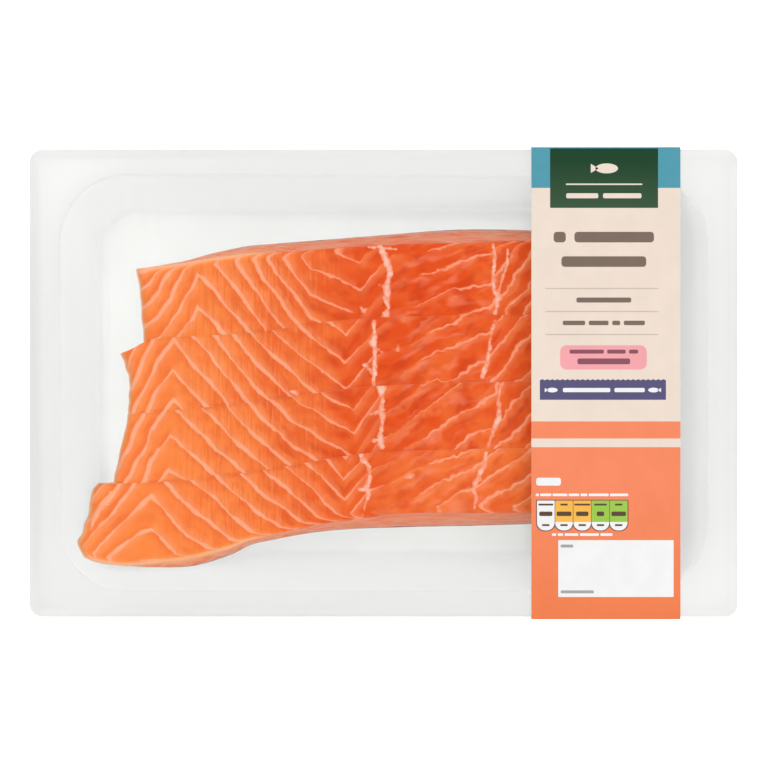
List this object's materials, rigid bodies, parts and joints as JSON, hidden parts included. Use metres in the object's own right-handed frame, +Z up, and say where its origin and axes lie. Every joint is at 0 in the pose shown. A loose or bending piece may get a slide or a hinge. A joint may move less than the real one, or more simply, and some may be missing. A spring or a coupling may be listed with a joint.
{
  "type": "pack of salmon fillets",
  "caption": "Shallow rectangular plastic tray of raw salmon fillets side by side, skin down, under a clear sealed film, with a card sleeve wrapped round one end.",
  "frame": {"origin": "middle of the pack's box, on the surface it rests on", "axes": "+X along the pack towards the sleeve, +Y across it, +Z up, out of the film"},
  "size_m": [0.27, 0.1796, 0.0393],
  "materials": {
    "tray_plastic": "thermoformed translucent white plastic sheet, semi-gloss",
    "lidding_film": "clear thin lidding film, glossy",
    "printed_card": "coated carton board printed in flat colours, satin",
    "salmon_flesh": "raw salmon flesh with pale seams of fat, moist; thin grey skin below"
  },
  "bodies": {
    "root": {"tray": "tray_plastic", "film": "lidding_film", "sleeve": "printed_card", "fillet_1": "salmon_flesh", "fillet_2": "salmon_flesh", "fillet_3": "salmon_flesh", "fillet_4": "salmon_flesh"}
  },
  "joints": []
}
